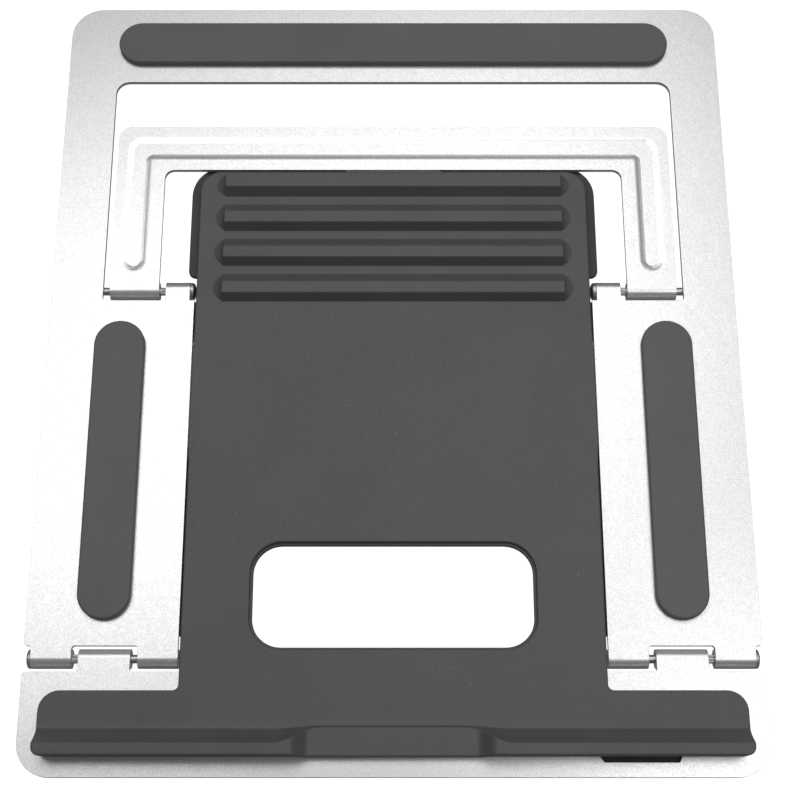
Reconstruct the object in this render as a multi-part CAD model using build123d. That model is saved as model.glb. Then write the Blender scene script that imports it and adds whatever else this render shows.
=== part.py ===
from build123d import *
import os
from math import atan, cos, degrees, pi, sin, sqrt

# A folding laptop stand, folded flat. Millimetres, +Z up, +Y towards the rear.
# Lengths along Y are measured from the front edge; save() moves the origin to
# the middle of the footprint on the desk. The left side mirrors the right one.

# --- overall ---
WIDTH = 250.0            # across the front bar and across the tray
DEPTH = 293.0            # front edge to rear edge
HALF = WIDTH / 2
SHEET = 1.8              # thickness of the three pressed metal frames
TOP = 8.0                # their top faces above the desk, all level when folded
UNDER = TOP - SHEET      # their undersides

# --- hinges: the sheet is curled down round a headed pin ---
KNUCKLE_R = 3.3          # outside of the curl
BORE_R = KNUCKLE_R - SHEET
PIN_R = 1.45             # plain length of a pin, 0.05 running clearance
AXIS_Z = TOP - KNUCKLE_R
CURL_SLIT = 0.6          # gap between the curl's end and the sheet above it
FRONT_AXIS = 39.4        # Y of the tray's hinge on the base
REAR_AXIS = 174.6        # Y of the leg frame's hinge on the tray
TRAY_INNER_KNUCKLE = (72.7, 86.4)
BASE_KNUCKLE = (88.8, 106.4)
TRAY_OUTER_KNUCKLE = (108.8, 122.6)
TRAY_REAR_KNUCKLE = (74.5, 83.4)
LEG_KNUCKLE = (85.9, 103.9)
FLUTES = 14              # grooves that grip a pin in its pressed knuckle
FLUTE_R = 0.16

# --- base: bar, tongue and the rubber on and under them ---
BAR_DEPTH = 34.7
TONGUE_HALF = 70.4       # metal tongue, inside the rubber skirt
TONGUE_END = 219.9
TONGUE_CORNER = 6.5
SKIRT = 1.5              # rubber that wraps the tongue's edge
MAT = 1.8                # rubber on top of the metal
MAT_TOP = TOP + MAT
MAT_BAR_HALF = 118.4
MAT_BAR_REAR = 28.3
MAT_FRONT = 6.7
REAR_TAB_HALF = 18.0     # the mat reaches a little further back in the middle
SWELL = 0.5              # and a little further out along part of each side
SWELL_Y = (108.0, 114.0, 150.0, 156.0)
WINDOW_HALF = 48.1       # hand hole, inside the rubber collar that lines the plate
WINDOW_Y = (42.85, 78.05)
WINDOW_CORNER = 10.0
WINDOW_STEP = 0.9        # the hole in the mat is this much wider than the collar
WINDOW_COLLAR = 2.0      # thickness of the collar
WINDOW_RELIEF = 1.5      # the hole in the sole is this much wider
SLOT_Y = (4.9, 7.4)      # pierced slot in front of the lip, right side only
SLOT_REAR_X = (67.8, 95.8)
SLOT_FRONT_X = (69.7, 94.6)

# --- ridges that stop the leg frame, and the lip that stops the laptop ---
RIDGES = 4
RIDGE_PITCH = 14.1
RIDGE_FOOT = 210.9       # foot of the rearmost ridge's steep front face
RIDGE_HEIGHT = 4.0
RIDGE_FACE = 2.0         # run of the steep front face
RIDGE_CREST = 4.4
RIDGE_BACK = 4.4         # run of the gentle rear slope
LAST_CREST = 5.9         # the rearmost ridge has a wider crest
LAST_BACK = 1.3          # and a steep back
RIDGE_HALF = 62.3        # half length of the crest
RIDGE_END = 3.9          # how far its round ends bulge at the foot
LIP_HEIGHT = 8.0
LIP_CREST = (6.2, 10.2)
LIP_TOE = 15.7           # where the hollow rear face meets the mat
RECESS_TOE = 16.5
RECESS_HEIGHT = 2.4      # low middle of the lip, for opening a laptop's lid
RECESS_FLAT = 24.0
RECESS_EDGE = 35.0

# --- rubber feet ---
SOLE = 2.6
SOLE_Y = (46.0, 120.0)
SOLE_HALF = 73.5
FLANGE_TOP = UNDER - 0.8  # rubber that shows in the gap stays below the tray
RAIL_INNER = 54.0
REAR_FOOT_Y = (154.0, 225.5)
REAR_FOOT_WAIST = (170.2, 180.1)
WAIST_HALF = 71.6
EAR_HALF = 75.6
TREAD_HALF = 72.0        # thick part of the rear foot, under its flange
TREAD_Y = (184.5, 220.0)
FRONT_FOOT_X = (30.0, 112.0)
FRONT_FOOT_Y = (3.5, 24.0)

# --- tray ---
BAR_INNER = 72.7         # inner edge of the wide side bars
LEDGE = 169.8            # rear end of the wide side bars
OPENING_HALF = 106.3
OPENING_REAR = 260.7
NOTCH_REAR = 43.4        # cut-outs round the base knuckles and the pin heads
NOTCH_X = (86.4, 108.8)
PAD_HEIGHT = 2.8
SIDE_PAD_X = (89.5, 107.8)
SIDE_PAD_Y = (52.0, 160.85)
REAR_PAD_HALF = 106.0
REAR_PAD_Y = (267.8, 285.5)

# --- leg frame ---
LEG_OUTER = 104.2
LEG_INNER = 85.9
LEG_BAR_Y = (223.0, 241.4)
BEAD_LINE = 95.7         # middle of the stiffening groove along the legs
BEAD_BAR_Y = 232.0       # and along the bar
BEAD_START = 181.9
BEAD_FLAT = 2.35         # half width of its floor
BEAD_WALL = 1.7          # run of each sloping wall
BEAD_DEPTH = 0.6

# --- hinge pins ---
FRONT_HEAD_R = 3.25
FRONT_HEAD = 1.6
REAR_HEAD_R = 3.15
REAR_HEAD = 2.1
REAR_PIN_END = 113.0
SADDLE_X = (107.6, 112.4)
SADDLE_SHEET = 1.2
SADDLE_HALF = 6.5


def save(node, shape):
    """Write one sub-part, moved to the middle of the footprint."""
    os.makedirs("parts", exist_ok=True)
    export_step(Pos(0, -DEPTH / 2, 0) * shape, f"parts/{node}.step")


def rect(x0, x1, y0, y1):
    return Pos((x0 + x1) / 2, (y0 + y1) / 2) * Rectangle(x1 - x0, y1 - y0)


def slab(face, low, high):
    """A flat outline given thickness between two heights."""
    return extrude(Pos(0, 0, low) * face, high - low)


def round_corners(face, radius, *points):
    """Round the corners of an outline that lie at the given points."""
    corners = [v for v in face.vertices() if any(abs(v.X - x) + abs(v.Y - y) < 0.01 for x, y in points)]
    return fillet(corners, radius)


def both(x, *heights):
    """The same corner on the left and the right side, at one or more Y."""
    return [(side * x, y) for y in heights for side in (-1, 1)]


def mirrored(shape):
    return mirror(shape, about=Plane.YZ)


def side_plane(x, facing, axis_y):
    """Plane of a hinge's cross-section; its local X runs along Y."""
    return Plane(origin=(x, axis_y, AXIS_Z), x_dir=(0, facing, 0), z_dir=(facing, 0, 0))


def curl(span, axis_y, facing, stub):
    """A strip of sheet that reaches a hinge axis and curls down round it.

    facing is +1 where the sheet arrives from the front and -1 from the rear.
    """
    end = BORE_R - CURL_SLIT
    inner_end = (-sqrt(BORE_R**2 - end**2), end)
    outer_end = (-sqrt(KNUCKLE_R**2 - end**2), end)
    outline = Curve() + [
        Line((-stub, BORE_R), (0, BORE_R)),
        ThreePointArc((0, BORE_R), (0, -BORE_R), inner_end),
        Line(inner_end, outer_end),
        ThreePointArc(outer_end, (0, -KNUCKLE_R), (0, KNUCKLE_R)),
        Line((0, KNUCKLE_R), (-stub, KNUCKLE_R)),
        Line((-stub, KNUCKLE_R), (-stub, BORE_R)),
    ]
    start = span[0] if facing > 0 else span[1]
    section = side_plane(start, facing, axis_y) * make_face(outline)
    return extrude(section, span[1] - span[0])


def rod(x0, x1, radius, axis_y):
    middle = Pos((x0 + x1) / 2, axis_y, AXIS_Z)
    return middle * Rot(0, 90, 0) * Cylinder(radius, x1 - x0)


def fluted_rod(x0, x1, axis_y):
    """The length of a pin that is grooved to grip its knuckle."""
    body = rod(x0, x1, BORE_R, axis_y)
    grooves = []
    for n in range(FLUTES):
        turn = 2 * pi * n / FLUTES
        groove = Pos((x0 + x1) / 2, axis_y + BORE_R * cos(turn), AXIS_Z + BORE_R * sin(turn))
        grooves.append(groove * Rot(0, 90, 0) * Cylinder(FLUTE_R, x1 - x0))
    return body - grooves


def pin_head(x_seat, x_crown, radius, axis_y):
    """A domed head between its seat on the knuckle and its crown."""
    head = rod(min(x_seat, x_crown), max(x_seat, x_crown), radius, axis_y)
    rim = [e for e in head.edges().filter_by(GeomType.CIRCLE) if abs(e.center().X - x_crown) < 0.01]
    return fillet(rim, 0.7 * abs(x_crown - x_seat))


def front_pin():
    inner = TRAY_INNER_KNUCKLE[0] + 0.3
    grip = BASE_KNUCKLE[1] + 0.4
    seat = TRAY_OUTER_KNUCKLE[1]
    pin = rod(inner, grip, PIN_R, FRONT_AXIS) + fluted_rod(grip, seat, FRONT_AXIS)
    return pin + pin_head(seat, seat + FRONT_HEAD, FRONT_HEAD_R, FRONT_AXIS)


def rear_pin():
    seat = TRAY_REAR_KNUCKLE[0]
    grip = LEG_KNUCKLE[0] - 0.4
    pin = fluted_rod(seat, grip, REAR_AXIS) + rod(grip, REAR_PIN_END, PIN_R, REAR_AXIS)
    return pin + pin_head(seat, seat - REAR_HEAD, REAR_HEAD_R, REAR_AXIS)


def pin_saddle():
    """A strap under the side bar that holds the outer end of a rear pin."""
    outer = BORE_R + SADDLE_SHEET
    drop = UNDER - AXIS_Z
    length = SADDLE_X[1] - SADDLE_X[0]
    strap = Rectangle(2 * outer, drop, align=(Align.CENTER, Align.MIN)) + Circle(outer)
    flange = Pos(0, drop - SADDLE_SHEET) * Rectangle(2 * SADDLE_HALF, SADDLE_SHEET, align=(Align.CENTER, Align.MIN))
    trim = Pos(0, drop) * Rectangle(4 * SADDLE_HALF, 4 * outer, align=(Align.CENTER, Align.MIN))
    inside = Circle(BORE_R) + Rectangle(2 * BORE_R, drop, align=(Align.CENTER, Align.MIN))
    section = strap + flange - inside - trim
    return extrude(side_plane(SADDLE_X[0], 1, REAR_AXIS) * section, length)


def window(grow):
    """Outline of the hand hole, enlarged all round by grow."""
    hole = rect(-WINDOW_HALF - grow, WINDOW_HALF + grow, WINDOW_Y[0] - grow, WINDOW_Y[1] + grow)
    return fillet(hole.vertices(), WINDOW_CORNER + grow)


def base_plate():
    outline = rect(-HALF, HALF, 0, BAR_DEPTH) + rect(-TONGUE_HALF, TONGUE_HALF, 0, TONGUE_END)
    for x0, x1 in (BASE_KNUCKLE, (-BASE_KNUCKLE[1], -BASE_KNUCKLE[0])):
        outline += rect(x0, x1, BAR_DEPTH - 1, FRONT_AXIS)
    outline = round_corners(outline, 11.5, *both(HALF, 0))
    outline = round_corners(outline, 1.5, *both(HALF, BAR_DEPTH))
    outline = round_corners(outline, 1.0, *both(BASE_KNUCKLE[0], BAR_DEPTH), *both(BASE_KNUCKLE[1], BAR_DEPTH))
    outline = round_corners(outline, TONGUE_CORNER, *both(TONGUE_HALF, TONGUE_END))
    front, rear = SLOT_Y
    slot = make_face(Polyline(
        (SLOT_FRONT_X[0], front), (SLOT_FRONT_X[1], front),
        (SLOT_REAR_X[1], rear), (SLOT_REAR_X[0], rear), close=True))
    plate = slab(outline - window(WINDOW_COLLAR) - slot, UNDER, TOP)
    knuckle = curl(BASE_KNUCKLE, FRONT_AXIS, 1, 2.0)
    return plate + knuckle + mirrored(knuckle)


def mat_outline():
    tongue = TONGUE_HALF + SKIRT
    rear = TONGUE_END + SKIRT
    outline = rect(-MAT_BAR_HALF, MAT_BAR_HALF, MAT_FRONT, MAT_BAR_REAR)
    outline += rect(-tongue, tongue, MAT_FRONT, rear)
    outline = round_corners(outline, 7.0, *both(MAT_BAR_HALF, MAT_BAR_REAR))
    outline = round_corners(outline, 3.0, *both(MAT_BAR_HALF, MAT_FRONT))
    outline = round_corners(outline, 2.0, *both(tongue, MAT_BAR_REAR))
    outline = round_corners(outline, TONGUE_CORNER + SKIRT, *both(tongue, rear))
    swell = [(tongue - 1, SWELL_Y[0]), (tongue, SWELL_Y[0]), (tongue + SWELL, SWELL_Y[1]),
             (tongue + SWELL, SWELL_Y[2]), (tongue, SWELL_Y[3]), (tongue - 1, SWELL_Y[3])]
    for side in (-1, 1):
        outline += make_face(Polyline(*[(side * x, y) for x, y in swell], close=True))
    return outline + rect(-REAR_TAB_HALF, REAR_TAB_HALF, rear - 1, rear + 0.7)


def skirt():
    """Rubber round the metal tongue's edge, and the collar of the window."""
    tongue = TONGUE_HALF + SKIRT
    wrap = mat_outline() & rect(-tongue, tongue, BAR_DEPTH, DEPTH)
    metal = rect(-TONGUE_HALF, TONGUE_HALF, 0, TONGUE_END)
    metal = round_corners(metal, TONGUE_CORNER, *both(TONGUE_HALF, TONGUE_END))
    return (wrap - metal) + (window(WINDOW_COLLAR) - window(0))


def ridge(foot, crest_run, back_run):
    """One ridge across the tongue; foot is the Y of its steep front face."""
    face = foot + RIDGE_FACE
    crest = face + crest_run
    back = crest + back_run
    half = RIDGE_HALF
    bulge = half + RIDGE_END
    base = make_face(Curve() + [
        Line((-half, foot), (half, foot)),
        ThreePointArc((half, foot), (bulge, (foot + back) / 2), (half, back)),
        Line((half, back), (-half, back)),
        ThreePointArc((-half, back), (-bulge, (foot + back) / 2), (-half, foot)),
    ])
    top = make_face(Polyline((-half, face), (half, face), (half, crest), (-half, crest), close=True))
    return loft([Pos(0, 0, MAT_TOP) * base, Pos(0, 0, MAT_TOP + RIDGE_HEIGHT) * top])


def lip_section(x, crest_rear, toe, height):
    """Cross-section of the lip, a hollow-backed wall standing on the mat."""
    low = TOP
    high = MAT_TOP + height
    hollow = (crest_rear + 0.44 * (toe - crest_rear), MAT_TOP + 0.44 * height)
    outline = Curve() + [
        Line((MAT_FRONT, low), (LIP_CREST[0], high)),
        Line((LIP_CREST[0], high), (crest_rear, high)),
        ThreePointArc((crest_rear, high), hollow, (toe, MAT_TOP)),
        Line((toe, MAT_TOP), (toe, low)),
        Line((toe, low), (MAT_FRONT, low)),
    ]
    plane = Plane(origin=(x, 0, 0), x_dir=(0, 1, 0), z_dir=(1, 0, 0))
    return plane * make_face(outline)


def lip():
    """The lip along the front, low in the middle and high at both sides."""
    high = lip_section(RECESS_EDGE, LIP_CREST[1], LIP_TOE, LIP_HEIGHT)
    low = lip_section(RECESS_FLAT, RECESS_TOE - 0.6, RECESS_TOE, RECESS_HEIGHT)
    wall = extrude(high, MAT_BAR_HALF - RECESS_EDGE)
    front_corner = [e for e in wall.edges() if abs(e.center().X - MAT_BAR_HALF) < 0.01 and e.center().Y < MAT_FRONT
                    and e.length > LIP_HEIGHT]
    wall = fillet(front_corner, 2.5)
    step = loft([low, high])
    middle = extrude(low, -2 * RECESS_FLAT)
    return wall + step + middle + mirrored(wall) + mirrored(step)


def base_mat():
    """The top rubber moulding: mat, skirt, window collar, ridges and lip."""
    mat = slab(mat_outline(), TOP, MAT_TOP)
    rim = mat.edges().group_by(Axis.Z)[-1]
    mat = chamfer(rim, 0.5)
    mat += slab(skirt(), UNDER, TOP)
    mat += ridge(RIDGE_FOOT, LAST_CREST, LAST_BACK)
    for n in range(1, RIDGES):
        mat += ridge(RIDGE_FOOT - n * RIDGE_PITCH, RIDGE_CREST, RIDGE_BACK)
    rear_cut = Pos(0, TONGUE_END + SKIRT + 0.7, 0) * Box(
        WIDTH, 20, 2 * MAT_TOP + 20, align=(Align.CENTER, Align.MIN, Align.CENTER))
    mat += lip()
    return mat - rear_cut - slab(window(WINDOW_STEP), TOP, 2 * TOP)


def front_sole():
    """Rubber under the middle of the tongue, with a foot rail at each side."""
    low = UNDER - SOLE
    flange = fillet(rect(-SOLE_HALF, SOLE_HALF, *SOLE_Y).vertices(), 3.0)
    body = rect(-TONGUE_HALF, TONGUE_HALF, *SOLE_Y)
    sole = slab(flange, low, FLANGE_TOP) + slab(body & flange, FLANGE_TOP - 0.1, UNDER)
    sole -= slab(window(WINDOW_RELIEF), 0, TOP)
    for x0, x1 in ((RAIL_INNER, SOLE_HALF), (-SOLE_HALF, -RAIL_INNER)):
        rail = fillet(rect(x0, x1, *SOLE_Y).vertices(), 3.0)
        sole += slab(rail, 0, low + 0.1)
    return sole


def rear_foot():
    """The foot under the tongue's end; the ears of its flange show beside the mat."""
    low = UNDER - SOLE
    front, rear = REAR_FOOT_Y
    waist_front, waist_rear = REAR_FOOT_WAIST
    outline = rect(-SOLE_HALF, SOLE_HALF, front, waist_front)
    outline += rect(-WAIST_HALF, WAIST_HALF, front, rear)
    outline += rect(-EAR_HALF, EAR_HALF, waist_rear, rear)
    outline = round_corners(outline, 12.0, *both(EAR_HALF, rear))
    outline = round_corners(outline, 2.5, *both(EAR_HALF, waist_rear))
    outline = round_corners(outline, 1.4, *both(WAIST_HALF, waist_rear))
    outline = round_corners(outline, 0.9, *both(WAIST_HALF, waist_front), *both(SOLE_HALF, waist_front))
    outline = round_corners(outline, 2.0, *both(SOLE_HALF, front))
    seat = rect(-TONGUE_HALF, TONGUE_HALF, front, TONGUE_END) & outline
    tread = fillet(rect(-TREAD_HALF, TREAD_HALF, *TREAD_Y).vertices(), 6.0)
    foot = slab(outline, low, FLANGE_TOP) + slab(seat, FLANGE_TOP - 0.1, UNDER)
    return foot + slab(tread, 0, low + 0.1)


def front_foot():
    """One of the two thick rubber feet under the front bar."""
    pad = slab(fillet(rect(*FRONT_FOOT_X, *FRONT_FOOT_Y).vertices(), 5.0), 0, UNDER)
    return chamfer(pad.edges().group_by(Axis.Z)[0], 0.5)


def tray_frame():
    outline = rect(-HALF, HALF, FRONT_AXIS, DEPTH)
    outline -= rect(-BAR_INNER, BAR_INNER, FRONT_AXIS, LEDGE)
    outline -= rect(-OPENING_HALF, OPENING_HALF, LEDGE, OPENING_REAR)
    for side in (-1, 1):
        for x0, x1 in (NOTCH_X, (TRAY_OUTER_KNUCKLE[1], HALF)):
            outline -= rect(min(side * x0, side * x1), max(side * x0, side * x1), FRONT_AXIS, NOTCH_REAR)
        lug = [side * x for x in TRAY_REAR_KNUCKLE]
        outline += rect(min(lug), max(lug), LEDGE - 1, REAR_AXIS)
    outline = round_corners(outline, 12.0, *both(HALF, DEPTH))
    outline = round_corners(outline, 5.0, *both(OPENING_HALF, OPENING_REAR))
    outline = round_corners(outline, 1.2, *both(NOTCH_X[0], NOTCH_REAR), *both(NOTCH_X[1], NOTCH_REAR))
    outline = round_corners(outline, 1.2, *both(OPENING_HALF, LEDGE))
    outline = round_corners(outline, 0.9, *both(TRAY_OUTER_KNUCKLE[1], NOTCH_REAR))
    outline = round_corners(outline, 1.45, *both(HALF, NOTCH_REAR))
    tray = slab(outline, UNDER, TOP)
    knuckles = [curl(span, FRONT_AXIS, -1, 2.0) for span in (TRAY_INNER_KNUCKLE, TRAY_OUTER_KNUCKLE)]
    knuckles.append(curl(TRAY_REAR_KNUCKLE, REAR_AXIS, 1, 2.0))
    for knuckle in knuckles:
        tray += [knuckle, mirrored(knuckle)]
    return tray


def pill_pad(x0, x1, y0, y1):
    """A rubber strip with round ends and a soft top edge."""
    radius = min(x1 - x0, y1 - y0) / 2 - 0.01
    pad = slab(fillet(rect(x0, x1, y0, y1).vertices(), radius), TOP, TOP + PAD_HEIGHT)
    return fillet(pad.edges().group_by(Axis.Z)[-1], 1.0)


def bead():
    """The groove pressed into the leg frame, as the solid it removes."""
    reach = BEAD_FLAT + BEAD_WALL
    rear = BEAD_BAR_Y + reach
    inner = BEAD_LINE - reach
    outer = BEAD_LINE + reach
    outline = rect(-outer, outer, BEAD_START, rear) - rect(-inner, inner, BEAD_START, BEAD_BAR_Y - reach)
    outline = round_corners(outline, 5.0, *both(outer, rear))
    outline = round_corners(outline, 1.5, *both(inner, BEAD_BAR_Y - reach))
    outline = round_corners(outline, reach - 0.05, *both(inner, BEAD_START), *both(outer, BEAD_START))
    taper = degrees(atan(BEAD_WALL / BEAD_DEPTH))
    return extrude(Pos(0, 0, TOP) * outline, BEAD_DEPTH, dir=(0, 0, -1), taper=taper)


def leg_frame():
    front, rear = LEG_BAR_Y
    outline = rect(-LEG_OUTER, LEG_OUTER, REAR_AXIS, rear) - rect(-LEG_INNER, LEG_INNER, REAR_AXIS, front)
    outline = round_corners(outline, 5.3, *both(LEG_OUTER, rear))
    outline = round_corners(outline, 3.6, *both(LEG_INNER, front))
    for side in (-1, 1):
        relief = sorted((side * LEG_KNUCKLE[1], side * LEG_OUTER))
        outline -= rect(*relief, REAR_AXIS, REAR_AXIS + 1.5)
    groove = bead()
    frame = slab(outline, UNDER, TOP) + Pos(0, 0, -SHEET) * groove - groove
    knuckle = curl(LEG_KNUCKLE, REAR_AXIS, -1, 2.0)
    return frame + knuckle + mirrored(knuckle)


def save_pair(name, right):
    save(f"{name}_right", right)
    save(f"{name}_left", mirrored(right))


save("base_plate", base_plate())
save("base_mat", base_mat())
save("front_sole", front_sole())
save("rear_foot", rear_foot())
save_pair("front_foot", front_foot())
save("tray_frame", tray_frame())
save("rear_pad", pill_pad(-REAR_PAD_HALF, REAR_PAD_HALF, *REAR_PAD_Y))
save_pair("side_pad", pill_pad(*SIDE_PAD_X, *SIDE_PAD_Y))
save("leg_frame", leg_frame())
save_pair("front_hinge_pin", front_pin())
save_pair("rear_hinge_pin", rear_pin())
save_pair("rear_pin_saddle", pin_saddle())
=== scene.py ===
import bpy
import bmesh
from math import atan2, ceil, cos, pi, radians, sin, sqrt, tan
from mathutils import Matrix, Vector
from mathutils.geometry import tessellate_polygon


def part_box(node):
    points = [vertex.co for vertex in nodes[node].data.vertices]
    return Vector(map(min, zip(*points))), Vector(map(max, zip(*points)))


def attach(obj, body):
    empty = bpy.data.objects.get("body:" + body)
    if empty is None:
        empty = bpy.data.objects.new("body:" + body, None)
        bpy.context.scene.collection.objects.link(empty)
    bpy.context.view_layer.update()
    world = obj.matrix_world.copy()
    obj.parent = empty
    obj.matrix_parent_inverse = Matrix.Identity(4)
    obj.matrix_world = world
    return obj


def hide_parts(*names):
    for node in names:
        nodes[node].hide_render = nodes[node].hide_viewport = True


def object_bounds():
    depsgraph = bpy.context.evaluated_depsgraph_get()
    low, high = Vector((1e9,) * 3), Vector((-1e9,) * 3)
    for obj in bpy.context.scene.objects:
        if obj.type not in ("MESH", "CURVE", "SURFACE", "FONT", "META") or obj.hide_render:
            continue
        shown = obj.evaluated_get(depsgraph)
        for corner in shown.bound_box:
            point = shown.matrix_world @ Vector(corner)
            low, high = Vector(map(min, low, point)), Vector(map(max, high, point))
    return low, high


# Looks of a folding laptop stand that lies folded flat. Lengths are in millimetres and Y is
# measured from the front edge, until point() turns them into the frame's metres.
MM = 0.001
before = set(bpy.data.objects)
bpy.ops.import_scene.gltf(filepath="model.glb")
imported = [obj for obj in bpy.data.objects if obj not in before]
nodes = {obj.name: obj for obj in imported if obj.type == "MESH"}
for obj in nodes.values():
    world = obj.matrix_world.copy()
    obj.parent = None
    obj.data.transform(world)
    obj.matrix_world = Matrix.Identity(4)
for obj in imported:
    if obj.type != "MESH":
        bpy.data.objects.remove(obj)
cad_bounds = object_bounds()
FRONT = cad_bounds[0][1] / MM


def span(node):
    """Lowest and highest corner of a CAD node in the script's own units."""
    low, high = (Vector(corner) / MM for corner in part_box(node))
    return low - Vector((0, FRONT, 0)), high - Vector((0, FRONT, 0))


# --- sizes that come from the frame ---
PLATE_HIGH = span("base_plate")[1]
MAT_LOW, MAT_HIGH = span("base_mat")
TOP = PLATE_HIGH.z               # top face of the pressed metal
UNDER = MAT_LOW.z                # its underside, where the mat's skirt ends
LIP_TOP = MAT_HIGH.z
MAT_HALF = MAT_HIGH.x            # half width of the mat on the front bar

# --- mat, as in the CAD part ---
MAT_TOP = TOP + 1.8
MAT_EASE = 0.55                  # radius of its top edge
SKIRT = 1.5
TONGUE_HALF = 71.9               # over the skirt
TONGUE_REAR = PLATE_HIGH.y + SKIRT
TONGUE_CORNER = 8.0
BAR_REAR = 28.3
BAR_CORNER = 7.0
SKIRT_START = 34.7               # the skirt begins behind the front bar
TAB_HALF = 18.0
TAB = 0.7
MAT_FRONT = 7.1                  # hidden inside the lip
SWELL = 0.5                      # the mat is this much wider along part of each side
SWELL_Y = (108.0, 114.0, 150.0, 156.0)
WINDOW_HALF = 48.1
WINDOW_Y = (42.85, 78.05)
WINDOW_CORNER = 10.0
WINDOW_STEP = 0.9
WINDOW_COLLAR = 2.0

# --- ridges ---
RIDGES = 4
RIDGE_PITCH = 14.1
RIDGE_FOOT = 210.9
RIDGE_HEIGHT = 4.0
RIDGE_RUNS = (2.0, 4.4, 4.4)     # of the steep front face, the crest and the gentle back
LAST_RUNS = (2.4, 5.5, 1.3)      # the rearmost ridge has a wider crest and a steep back
RIDGE_HALF = 62.3
RIDGE_END = 3.7                  # how far the ends flare at the foot
RIDGE_END_STEPS = 12
RIDGE_RISES = (-0.06, 0.0, 0.08, 0.18, 0.3, 0.45, 0.7, 1.0)    # dense where the ends flare most

# --- lip ---
LIP_FACE = 6.7                   # foot of the front face
LIP_CREST = (6.2, 10.2)
LIP_TOE = 15.65                  # foot of the rear slope
LIP_RAMP = 3.0                   # the mat climbs slightly to it over this length
LIP_RAMP_RISE = 0.3
LIP_HALF = MAT_HALF - 0.35
LIP_CORNER = 2.9                 # in plan, at both ends
LIP_EASE = 0.9                   # radius along its front top edge
LIP_ROUND = 0.45                 # softening of its rear top edge
LIP_HOLLOW = 0.3                 # sag of the rear slope
RECESS_DROP = 5.6
RECESS_CREST = 15.9              # the low middle is flat nearly to its toe
RECESS_TOE = 16.6
RECESS_PLAN = (24.0, 39.0)       # where the crest's rear edge swings forward
RECESS_RISE = (27.5, 34.0)       # where the crest climbs

# --- hinge pins ---
PIN_R = 1.45
GRIP_R = 1.5                     # it fills the knuckle's bore here
FLUTES = 14
FLUTE = 0.15                     # depth of a flute
PIN_EASE = 0.15                  # softening of its rims
FRONT_HEAD = 1.6
FRONT_FLUTED = 15.8
REAR_HEAD = 2.1
REAR_FLUTED = 11.0

# --- pressed groove of the leg frame ---
GROOVE_START = 181.0             # the frame's knuckles lie in front of this line
GROOVE_CAD = 0.6                 # depth in the CAD part
GROOVE_DEPTH = 0.37              # depth shown here
GROOVE_ROLL = 0.85               # reach of its rolled shoulders
GROOVE_SLACK = 0.05              # heights this close to a level count as being on it

# --- rounded edges of the pressed and moulded copies ---
METAL_EASE = 0.25
FOOT_EASE = 0.4
SADDLE_EASE = 0.1

ARC_STEP = radians(7)            # turn between two points of a rounded corner
EASE_STEPS = 4
SHARP = radians(38)              # a steeper edge than this is shaded as a crease


def point(x, y, z):
    return Vector((x, y + FRONT, z)) * MM


# --- outlines ---

def outline(corners):
    """Closed loop of plan points from (x, y, radius) corners."""
    loop = []
    for i, (x, y, radius) in enumerate(corners):
        corner = Vector((x, y))
        if radius == 0:
            loop.append(corner)
            continue
        before = (Vector(corners[i - 1][:2]) - corner).normalized()
        after = (Vector(corners[(i + 1) % len(corners)][:2]) - corner).normalized()
        half = before.angle(after) / 2
        center = corner + (before + after).normalized() * (radius / sin(half))
        start = corner + before * (radius / tan(half)) - center
        end = corner + after * (radius / tan(half)) - center
        first = atan2(start.y, start.x)
        sweep = (atan2(end.y, end.x) - first + pi) % (2 * pi) - pi
        steps = max(3, ceil(abs(sweep) / ARC_STEP))
        for k in range(steps + 1):
            turn = first + sweep * k / steps
            loop.append(center + radius * Vector((cos(turn), sin(turn))))
    return loop


def symmetric(right_side):
    """Anticlockwise loop from its right half, given front to rear."""
    left_side = [(-x, y, radius) for x, y, radius in reversed(right_side)]
    return outline(right_side + left_side)


def rounded_box(x, y0, y1, radius):
    return symmetric([(x, y0, radius), (x, y1, radius)])


def inset(loop, distance):
    """Loop moved to the left of its own direction: inward where it runs anticlockwise."""
    moved = []
    for i, here in enumerate(loop):
        arrive = (here - loop[i - 1]).normalized()
        leave = (loop[(i + 1) % len(loop)] - here).normalized()
        normal_in = Vector((-arrive.y, arrive.x))
        normal_out = Vector((-leave.y, leave.x))
        reach = distance / (1 + normal_in.dot(normal_out))
        moved.append(here + (normal_in + normal_out) * reach)
    return moved


# --- meshes ---

def add_ring(bm, loop, z):
    return [bm.verts.new(point(p.x, p.y, z)) for p in loop]


def bridge(bm, lower, upper):
    """Quads between two rings with the same number of points."""
    count = len(lower)
    for i in range(count):
        j = (i + 1) % count
        bm.faces.new((lower[i], lower[j], upper[j], upper[i]))


def cap(bm, rings):
    """Flat faces over an outer ring and the holes in it."""
    corners = [v for ring in rings for v in ring]
    for a, b, c in tessellate_polygon([[v.co for v in ring] for ring in rings]):
        bm.faces.new((corners[a], corners[b], corners[c]))


def ease_profile(radius, z):
    """(inset, height) steps of a rounded top edge that ends at height z."""
    if radius == 0:
        return [(0, z)]
    turns = [pi / 2 * k / EASE_STEPS for k in range(EASE_STEPS + 1)]
    return [(radius * (1 - cos(t)), z - radius * (1 - sin(t))) for t in turns]


def add_slab(bm, loops, low, high, ease, ease_low=0.0):
    """Solid between two heights. Outer loop anticlockwise first, then clockwise holes."""
    bottom = [(step, low + high - z) for step, z in ease_profile(ease_low, high)]
    profile = bottom[::-1] + ease_profile(ease, high)
    floor_rings = []
    roof_rings = []
    for loop in loops:
        rings = [add_ring(bm, inset(loop, step), z) for step, z in profile]
        for lower, upper in zip(rings, rings[1:]):
            bridge(bm, lower, upper)
        floor_rings.append(rings[0])
        roof_rings.append(rings[-1])
    cap(bm, floor_rings)
    cap(bm, roof_rings)


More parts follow.
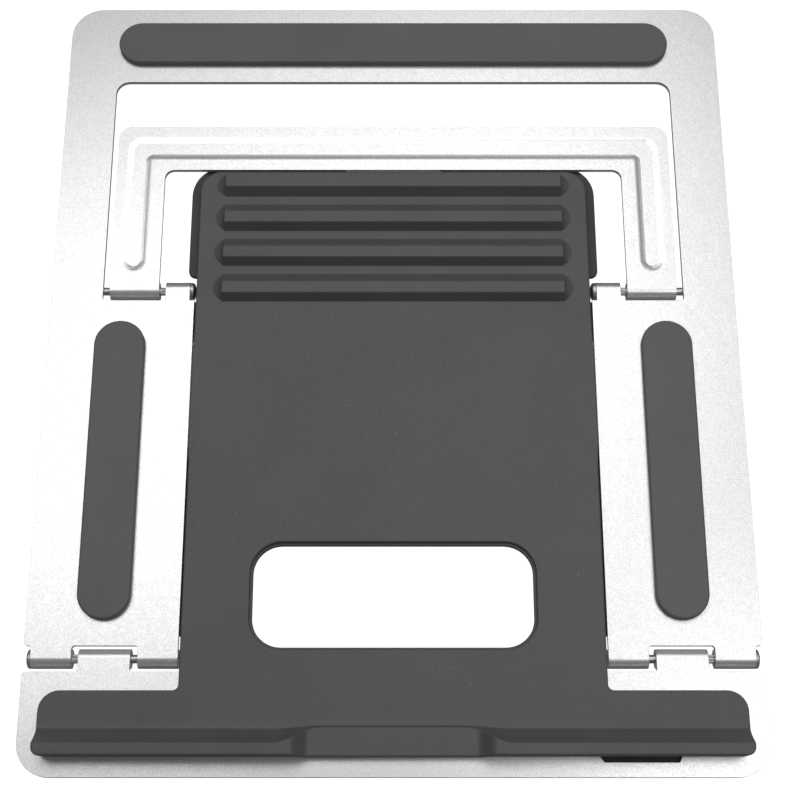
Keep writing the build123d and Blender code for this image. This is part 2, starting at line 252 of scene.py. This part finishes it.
def soften(bm, edges, width, segments, clamp=True):
    if edges:
        bmesh.ops.bevel(bm, geom=edges, offset=width * MM, offset_type="OFFSET", segments=segments,
                        profile=0.5, affect="EDGES", clamp_overlap=clamp, material=-1)


def steep_edges(bm, least, most=pi):
    return [e for e in bm.edges if len(e.link_faces) == 2 and least < e.calc_face_angle() < most]


def finish_object(bm, name, material, body, replaced):
    bmesh.ops.recalc_face_normals(bm, faces=bm.faces)
    for face in bm.faces:
        face.smooth = True
    for edge in bm.edges:
        if len(edge.link_faces) != 2 or edge.calc_face_angle() > SHARP:
            edge.smooth = False
    mesh = bpy.data.meshes.new(name)
    bm.to_mesh(mesh)
    bm.free()
    mesh.materials.append(material)
    piece = bpy.data.objects.new(name, mesh)
    bpy.context.scene.collection.objects.link(piece)
    weighted = piece.modifiers.new("weighted normals", "WEIGHTED_NORMAL")
    weighted.keep_sharp = True
    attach(piece, body)
    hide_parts(replaced)
    return piece


def eased_copy(node, body, material, width, reshape=None):
    """A CAD node's shape with its hard edges rounded, and reshaped if that is asked for."""
    bm = bmesh.new()
    bm.from_mesh(nodes[node].data)
    bmesh.ops.remove_doubles(bm, verts=bm.verts, dist=0.002 * MM)
    bmesh.ops.dissolve_limit(bm, angle_limit=radians(0.2), verts=bm.verts, edges=bm.edges)
    if reshape:
        reshape(bm)
    soften(bm, steep_edges(bm, radians(35)), width, 3)
    return finish_object(bm, f"{node}_looks", material, body, node)


def sink_groove(bm):
    """Bring the leg frame's pressed groove to its shown depth. Returns all its sunk vertices, and
    those of them on its flat bottom."""
    sunk = set()
    bottom = set()
    for vert in bm.verts:
        y, z = vert.co.y / MM - FRONT, vert.co.z / MM
        for level in (TOP, UNDER):
            depth = level - z
            if y > GROOVE_START and 0.01 < depth < GROOVE_CAD + GROOVE_SLACK:
                vert.co.z = (level - depth * GROOVE_DEPTH / GROOVE_CAD) * MM
                sunk.add(vert)
                if depth > GROOVE_CAD - GROOVE_SLACK:
                    bottom.add(vert)
    return sunk, bottom


def roll_groove(bm):
    """Give the groove's walls rolled shoulders, and keep the line round its bottom crisp."""
    sunk, bottom = sink_groove(bm)
    shoulders = []
    for edge in steep_edges(bm, radians(6), radians(30)):
        if bottom.issuperset(edge.verts):
            edge.smooth = False
        elif all(v.co.z / MM > TOP - 0.01 for v in edge.verts):
            if any(sunk.intersection(face.verts) for face in edge.link_faces):
                shoulders.append(edge)
    soften(bm, shoulders, GROOVE_ROLL, 5, clamp=False)


# --- materials ---

def new_material(name, color, roughness, metallic=0.0):
    material = bpy.data.materials.new(name)
    material.use_nodes = True
    shader = material.node_tree.nodes["Principled BSDF"]
    shader.inputs["Base Color"].default_value = (*color, 1)
    shader.inputs["Roughness"].default_value = roughness
    shader.inputs["Metallic"].default_value = metallic
    return material


def add_node(material, kind, **values):
    node = material.node_tree.nodes.new(kind)
    for name, value in values.items():
        if hasattr(node, name):
            setattr(node, name, value)
        else:
            node.inputs[name.replace("_", " ").title()].default_value = value
    return node


def noise(material, per_mm, detail, stretch=None):
    """Noise in the object's own coordinates; per_mm is how many cells fit in a millimetre."""
    links = material.node_tree.links
    place = add_node(material, "ShaderNodeTexCoord")
    texture = add_node(material, "ShaderNodeTexNoise", scale=per_mm / MM, detail=detail, roughness=0.6)
    source = place.outputs["Object"]
    if stretch:
        mapping = add_node(material, "ShaderNodeMapping")
        mapping.inputs["Scale"].default_value = stretch
        links.new(source, mapping.inputs["Vector"])
        source = mapping.outputs["Vector"]
    links.new(source, texture.inputs["Vector"])
    return texture.outputs["Fac"]


def remap(material, source, from_range, to_range):
    node = add_node(material, "ShaderNodeMapRange")
    node.inputs["From Min"].default_value, node.inputs["From Max"].default_value = from_range
    node.inputs["To Min"].default_value, node.inputs["To Max"].default_value = to_range
    material.node_tree.links.new(source, node.inputs["Value"])
    return node.outputs["Result"]


def blend_colors(material, factor, low_color, high_color):
    node = add_node(material, "ShaderNodeMix", data_type="RGBA")
    links = material.node_tree.links
    links.new(factor, node.inputs["Factor"])
    for socket, color in ((node.inputs[6], low_color), (node.inputs[7], high_color)):
        if isinstance(color, tuple):
            socket.default_value = (*color, 1)
        else:
            links.new(color, socket)
    return node.outputs[2]


def add_bump(material, height, strength, depth):
    node = add_node(material, "ShaderNodeBump")
    node.inputs["Strength"].default_value = strength
    node.inputs["Distance"].default_value = depth * MM
    links = material.node_tree.links
    links.new(height, node.inputs["Height"])
    links.new(node.outputs["Normal"], material.node_tree.nodes["Principled BSDF"].inputs["Normal"])


def drive(material, socket, source):
    shader = material.node_tree.nodes["Principled BSDF"]
    material.node_tree.links.new(source, shader.inputs[socket])


def blasted_metal(name):
    """Bead-blasted, clear anodised aluminium: bright, satin and finely grained."""
    material = new_material(name, (0.9, 0.9, 0.9), 0.36, metallic=0.8)
    dark = (0.77, 0.77, 0.755)
    light = (0.97, 0.97, 0.965)
    grain = noise(material, per_mm=2.7, detail=2)
    tone = remap(material, grain, (0.36, 0.64), (0.0, 1.0))
    drive(material, "Base Color", blend_colors(material, tone, dark, light))
    drive(material, "Roughness", remap(material, grain, (0.3, 0.7), (0.42, 0.3)))
    add_bump(material, grain, strength=0.8, depth=0.03)
    return material


def moulded_rubber(name, dark, light, grain_bump, lint=True):
    """Matte moulded rubber with a fine bloom and, on top, a few specks of lint."""
    material = new_material(name, light, 0.6)
    material.node_tree.nodes["Principled BSDF"].inputs["Specular IOR Level"].default_value = 0.7
    lint_color = (0.5, 0.49, 0.46)
    grain = noise(material, per_mm=1.9, detail=2)
    bloom = noise(material, per_mm=0.035, detail=3)
    tone = blend_colors(material, remap(material, bloom, (0.3, 0.7), (0.0, 1.0)), dark, light)
    if lint:
        cells = add_node(material, "ShaderNodeTexVoronoi", scale=0.09 / MM)
        place = add_node(material, "ShaderNodeTexCoord")
        links = material.node_tree.links
        links.new(place.outputs["Object"], cells.inputs["Vector"])
        speck = remap(material, cells.outputs["Distance"], (0.016, 0.024), (0.55, 0.0))
        tone = blend_colors(material, speck, tone, lint_color)
    drive(material, "Base Color", tone)
    drive(material, "Roughness", remap(material, grain, (0.3, 0.7), (0.66, 0.52)))
    add_bump(material, grain, grain_bump, depth=0.02)
    return material


def drawn_steel(name):
    """Pin wire with fine lines along its length."""
    material = new_material(name, (0.6, 0.6, 0.59), 0.25, metallic=1.0)
    dark = (0.5, 0.495, 0.48)
    light = (0.72, 0.715, 0.7)
    lines = noise(material, per_mm=6.0, detail=2, stretch=(0.06, 1, 1))
    drive(material, "Base Color", blend_colors(material, lines, dark, light))
    drive(material, "Roughness", remap(material, lines, (0.3, 0.7), (0.34, 0.5)))
    add_bump(material, lines, strength=0.2, depth=0.01)
    return material


SILVER = blasted_metal("frame metal")
MAT_RUBBER = moulded_rubber("mat rubber", (0.105, 0.105, 0.106), (0.120, 0.120, 0.121), 0.35)
PAD_RUBBER = moulded_rubber("pad rubber", (0.132, 0.132, 0.133), (0.149, 0.149, 0.150), 0.65)
FOOT_RUBBER = moulded_rubber("foot rubber", (0.036, 0.036, 0.037), (0.044, 0.044, 0.045), 0.3, lint=False)
STEEL = drawn_steel("pin steel")


# --- the rubber mat ---

def add_skirt(bm):
    """Rubber that wraps the tongue's edge, from the bar back, as one open band."""
    inner = TONGUE_HALF - SKIRT
    rear = TONGUE_REAR - SKIRT
    band = outline([
        (TONGUE_HALF, SKIRT_START, 0), (TONGUE_HALF, TONGUE_REAR, TONGUE_CORNER),
        (-TONGUE_HALF, TONGUE_REAR, TONGUE_CORNER), (-TONGUE_HALF, SKIRT_START, 0),
        (-inner, SKIRT_START, 0), (-inner, rear, TONGUE_CORNER - SKIRT),
        (inner, rear, TONGUE_CORNER - SKIRT), (inner, SKIRT_START, 0)])
    add_slab(bm, [band], UNDER, TOP + 0.3, 0.0, 0.3)


def ridge_ring(bm, foot, runs, rise):
    """A ridge's outline at a height from 0, its foot, to 1, its crest. The ends flare out."""
    face, crest, back = runs
    front = foot + face * rise
    rear = foot + face + crest + back * (1 - rise)
    flare = RIDGE_END * (1 - rise)**3
    right = []
    for k in range(RIDGE_END_STEPS + 1):
        along = k / RIDGE_END_STEPS
        bulge = flare * 4 * along * (1 - along)
        right.append(Vector((RIDGE_HALF + bulge, front + (rear - front) * along)))
    left = [Vector((-p.x, p.y)) for p in reversed(right)]
    return add_ring(bm, right + left, MAT_TOP + RIDGE_HEIGHT * rise)


def add_ridge(bm, foot, runs):
    """Bar with a steep front and a sloping back, as a closed shell sunk into the mat."""
    shell = bmesh.new()
    rings = [ridge_ring(shell, foot, runs, rise) for rise in RIDGE_RISES]
    for lower, upper in zip(rings, rings[1:]):
        bridge(shell, lower, upper)
    cap(shell, [rings[0]])
    cap(shell, [rings[-1]])
    bmesh.ops.recalc_face_normals(shell, faces=shell.faces)
    bmesh.ops.dissolve_limit(shell, angle_limit=radians(0.2), verts=shell.verts, edges=shell.edges)
    crest_level = (MAT_TOP + RIDGE_HEIGHT - 0.01) * MM
    rim = [e for e in steep_edges(shell, radians(20)) if min(v.co.z for v in e.verts) > crest_level]
    soften(shell, rim, 0.35, 3)
    merge(bm, shell)


def merge(bm, part):
    """Move a part's faces into the bigger mesh."""
    mesh = bpy.data.meshes.new("part")
    part.to_mesh(mesh)
    part.free()
    bm.from_mesh(mesh)
    bpy.data.meshes.remove(mesh)


def smoothstep(low, high, value):
    t = min(1.0, max(0.0, (value - low) / (high - low)))
    return t * t * (3 - 2 * t)


def quarter_inset(radius, distance):
    """How far a quarter round has drawn in, at a distance from the end."""
    if distance >= radius:
        return 0.0
    return radius - sqrt(radius**2 - (radius - distance)**2)


def quadratic(start, bend, end, steps):
    """Points along a curve that leaves start towards bend and arrives at end from it."""
    curve = []
    for k in range(steps + 1):
        t = k / steps
        curve.append(start * (1 - t)**2 + bend * 2 * t * (1 - t) + end * t * t)
    return curve


def lip_section(x):
    """(y, z) points of the lip at x: up the front face, over the crest, down to the mat."""
    end = LIP_HALF - abs(x)
    plan = smoothstep(*RECESS_PLAN, abs(x))
    rise = smoothstep(*RECESS_RISE, abs(x))
    crest_z = LIP_TOP - RECESS_DROP * (1 - rise) - quarter_inset(LIP_EASE, end)
    front_in = quarter_inset(LIP_CORNER, end)
    foot = Vector((LIP_FACE + front_in, TOP))
    brow = Vector((LIP_CREST[0] + front_in, crest_z - LIP_EASE))
    points = [foot - Vector((0, 0.3))]
    points += [foot.lerp(brow, k / 4) for k in range(4)]
    points += quadratic(brow, Vector((brow.x, crest_z)), Vector((brow.x + LIP_EASE, crest_z)), 6)
    corner = Vector((RECESS_CREST + (LIP_CREST[1] - RECESS_CREST) * plan, crest_z))
    toe = Vector((RECESS_TOE + (LIP_TOE - RECESS_TOE) * plan, MAT_TOP + LIP_RAMP_RISE))
    slope = toe - corner
    after = corner + slope.normalized() * LIP_ROUND
    before = corner - Vector((LIP_ROUND, 0))
    points.append(points[-1].lerp(before, 0.5))
    points += quadratic(before, corner, after, 4)
    sag = Vector((slope.y, -slope.x)).normalized() * 2 * LIP_HOLLOW * plan
    points += quadratic(after, after.lerp(toe, 0.5) + sag, toe, 8)[1:]
    ramp_end = Vector((toe.x + LIP_RAMP, MAT_TOP + 0.01))
    points += quadratic(toe, Vector((toe.x + LIP_RAMP / 2, ramp_end.y)), ramp_end, 5)[1:]
    points.append(Vector((ramp_end.x, TOP - 0.3)))
    return points


def lip_stations():
    """X of every cross-section, dense at the ends and in the recess's slopes."""
    flat, edge = RECESS_PLAN
    right = [flat * k / 6 for k in range(7)]
    right += [flat + (edge - flat) * k / 30 for k in range(1, 31)]
    plain = LIP_HALF - LIP_CORNER
    right += [edge + (plain - edge) * k / 12 for k in range(1, 13)]
    right += [LIP_HALF - LIP_CORNER * (1 - sin(pi / 2 * k / 9)) for k in range(1, 10)]
    return [-x for x in reversed(right[1:])] + right


def add_lip(bm):
    rows = [[bm.verts.new(point(x, y, z)) for y, z in lip_section(x)] for x in lip_stations()]
    for row, following in zip(rows, rows[1:]):
        bridge(bm, row, following)
    bm.faces.new(rows[0])
    bm.faces.new(reversed(rows[-1]))


def base_mat():
    bm = bmesh.new()
    plan = symmetric([
        (MAT_HALF, MAT_FRONT, 3.0), (MAT_HALF, BAR_REAR, BAR_CORNER), (TONGUE_HALF, BAR_REAR, 2.0),
        (TONGUE_HALF, SWELL_Y[0], 0.0), (TONGUE_HALF + SWELL, SWELL_Y[1], 0.0),
        (TONGUE_HALF + SWELL, SWELL_Y[2], 0.0), (TONGUE_HALF, SWELL_Y[3], 0.0),
        (TONGUE_HALF, TONGUE_REAR, TONGUE_CORNER), (TAB_HALF, TONGUE_REAR, 0.0),
        (TAB_HALF, TONGUE_REAR + TAB, 0.0)])
    hole = rounded_box(WINDOW_HALF + WINDOW_STEP, WINDOW_Y[0] - WINDOW_STEP, WINDOW_Y[1] + WINDOW_STEP,
                       WINDOW_CORNER + WINDOW_STEP)
    add_slab(bm, [plan, hole[::-1]], TOP, MAT_TOP, MAT_EASE)
    add_skirt(bm)
    outer = rounded_box(WINDOW_HALF + WINDOW_COLLAR, WINDOW_Y[0] - WINDOW_COLLAR,
                        WINDOW_Y[1] + WINDOW_COLLAR, WINDOW_CORNER + WINDOW_COLLAR)
    inner = rounded_box(WINDOW_HALF, WINDOW_Y[0], WINDOW_Y[1], WINDOW_CORNER)
    add_slab(bm, [outer, inner[::-1]], UNDER, TOP + 0.01, 0.3)
    add_ridge(bm, RIDGE_FOOT, LAST_RUNS)
    for n in range(1, RIDGES):
        add_ridge(bm, RIDGE_FOOT - n * RIDGE_PITCH, RIDGE_RUNS)
    add_lip(bm)
    finish_object(bm, "base_mat_looks", MAT_RUBBER, "base", "base_mat")


# --- pads on the tray ---

def pad(node):
    """Rubber strip with round ends, a soft edge and a flat top."""
    low, high = span(node)
    width, depth = high.x - low.x, high.y - low.y
    end = min(width, depth) / 2 - 0.01
    loop = outline([(low.x, low.y, end), (high.x, low.y, end), (high.x, high.y, end), (low.x, high.y, end)])
    bm = bmesh.new()
    add_slab(bm, [loop], TOP, high.z, 0.8)
    finish_object(bm, f"{node}_looks", PAD_RUBBER, "tray", node)


# --- the pins' own shape ---

def pin_ring(bm, x, middle, radius, flute):
    """Ring round a pin's axis, notched by its flutes."""
    sides = FLUTES * 6
    ring = []
    for k in range(sides):
        turn = 2 * pi * k / sides
        reach = radius - flute * max(0.0, cos(FLUTES * turn))
        ring.append(bm.verts.new(point(x, middle.y + reach * cos(turn), middle.z + reach * sin(turn))))
    return ring


def headed_pin(node, head_side, head, fluted):
    """Turned pin: a domed head on one end, a fluted stretch that grips its knuckle, a plain length."""
    low, high = span(node)
    middle = (low + high) / 2
    crown = high.x if head_side > 0 else low.x
    length = high.x - low.x
    rim = (high.z - low.z) / 2
    dome = 0.55 * head
    stations = []
    for k in range(9):
        turn = radians(2) + (pi / 2 - radians(2)) * k / 8
        stations.append((dome * (1 - cos(turn)), rim * sin(turn), 0))
    stations += [(head - PIN_EASE, rim, 0), (head, rim - PIN_EASE, 0)]
    stations += [(head, GRIP_R, FLUTE), (head + fluted, GRIP_R, FLUTE), (head + fluted, PIN_R, 0)]
    stations += [(length - PIN_EASE, PIN_R, 0), (length, PIN_R - PIN_EASE, 0)]
    bm = bmesh.new()
    rings = []
    for depth, radius, flute in stations:
        rings.append(pin_ring(bm, crown - head_side * depth, middle, radius, flute))
    for ring, following in zip(rings, rings[1:]):
        bridge(bm, ring, following)
    bm.faces.new(rings[0])
    bm.faces.new(reversed(rings[-1]))
    finish_object(bm, f"{node}_looks", STEEL, "tray", node)


# --- build ---

base_mat()
for node in ("rear_pad", "side_pad_left", "side_pad_right"):
    pad(node)
eased_copy("base_plate", "base", SILVER, METAL_EASE)
eased_copy("tray_frame", "tray", SILVER, METAL_EASE)
eased_copy("leg_frame", "leg", SILVER, METAL_EASE, roll_groove)
for node in ("front_sole", "rear_foot", "front_foot_left", "front_foot_right"):
    eased_copy(node, "base", FOOT_RUBBER, FOOT_EASE)
for side, name in ((-1, "left"), (1, "right")):
    headed_pin(f"front_hinge_pin_{name}", side, FRONT_HEAD, FRONT_FLUTED)
    headed_pin(f"rear_hinge_pin_{name}", -side, REAR_HEAD, REAR_FLUTED)
    eased_copy(f"rear_pin_saddle_{name}", "tray", STEEL, SADDLE_EASE)


# --- camera ---

TILT = 18.94                     # degrees from straight down
CAMERA_AHEAD = 42.64             # in front of the front edge
CAMERA_ABOVE = 506.7             # above the metal's top face
lens = bpy.data.cameras.new("camera")
lens.lens = 67.5
lens.sensor_width = 36
lens.shift_x = 0.0085
lens.clip_start = 0.01
camera = bpy.data.objects.new("camera", lens)
bpy.context.scene.collection.objects.link(camera)
camera.location = point(0, -CAMERA_AHEAD, TOP + CAMERA_ABOVE)
camera.rotation_euler = (radians(TILT), 0, 0)
bpy.context.scene.camera = camera


# --- floor and light ---

FLOOR_HALF = 3000
ground = bmesh.new()
ring = add_ring(ground, outline([(-FLOOR_HALF, -FLOOR_HALF, 0), (FLOOR_HALF, -FLOOR_HALF, 0),
                                 (FLOOR_HALF, FLOOR_HALF, 0), (-FLOOR_HALF, FLOOR_HALF, 0)]), 0)
ground.faces.new(ring)
floor_mesh = bpy.data.meshes.new("floor")
ground.to_mesh(floor_mesh)
ground.free()
paper = new_material("floor paper", (0.86, 0.86, 0.86), 0.9)
paper_shader = paper.node_tree.nodes["Principled BSDF"]
paper_shader.inputs["Emission Color"].default_value = (1, 1, 1, 1)
paper_shader.inputs["Emission Strength"].default_value = 0.95
floor_mesh.materials.append(paper)
floor = bpy.data.objects.new("floor", floor_mesh)
bpy.context.scene.collection.objects.link(floor)
# The paper is hidden from the rays that light the object, so it throws no light up at it.
floor.visible_diffuse = False
floor.visible_glossy = False

world = bpy.data.worlds.new("studio")
bpy.context.scene.world = world
world.use_nodes = True
sky = world.node_tree.nodes["Background"]
sky.inputs["Color"].default_value = (1, 1, 1, 1)
sky.inputs["Strength"].default_value = 0.12
bpy.context.scene.view_settings.view_transform = "Standard"


def softbox(name, place, aim, size, power):
    light = bpy.data.lights.new(name, "AREA")
    light.shape = "RECTANGLE"
    light.size, light.size_y = (length * MM for length in size)
    light.energy = power
    lamp = bpy.data.objects.new(name, light)
    bpy.context.scene.collection.objects.link(lamp)
    lamp.location = point(*place)
    lamp.rotation_euler = (point(*aim) - lamp.location).to_track_quat("-Z", "Y").to_euler()


softbox("overhead", place=(-125, 562, 1150), aim=(0, 200, 0), size=(1200, 650), power=5.15)
softbox("front right", place=(300, 10, 620), aim=(100, 30, 0), size=(300, 300), power=0.7)
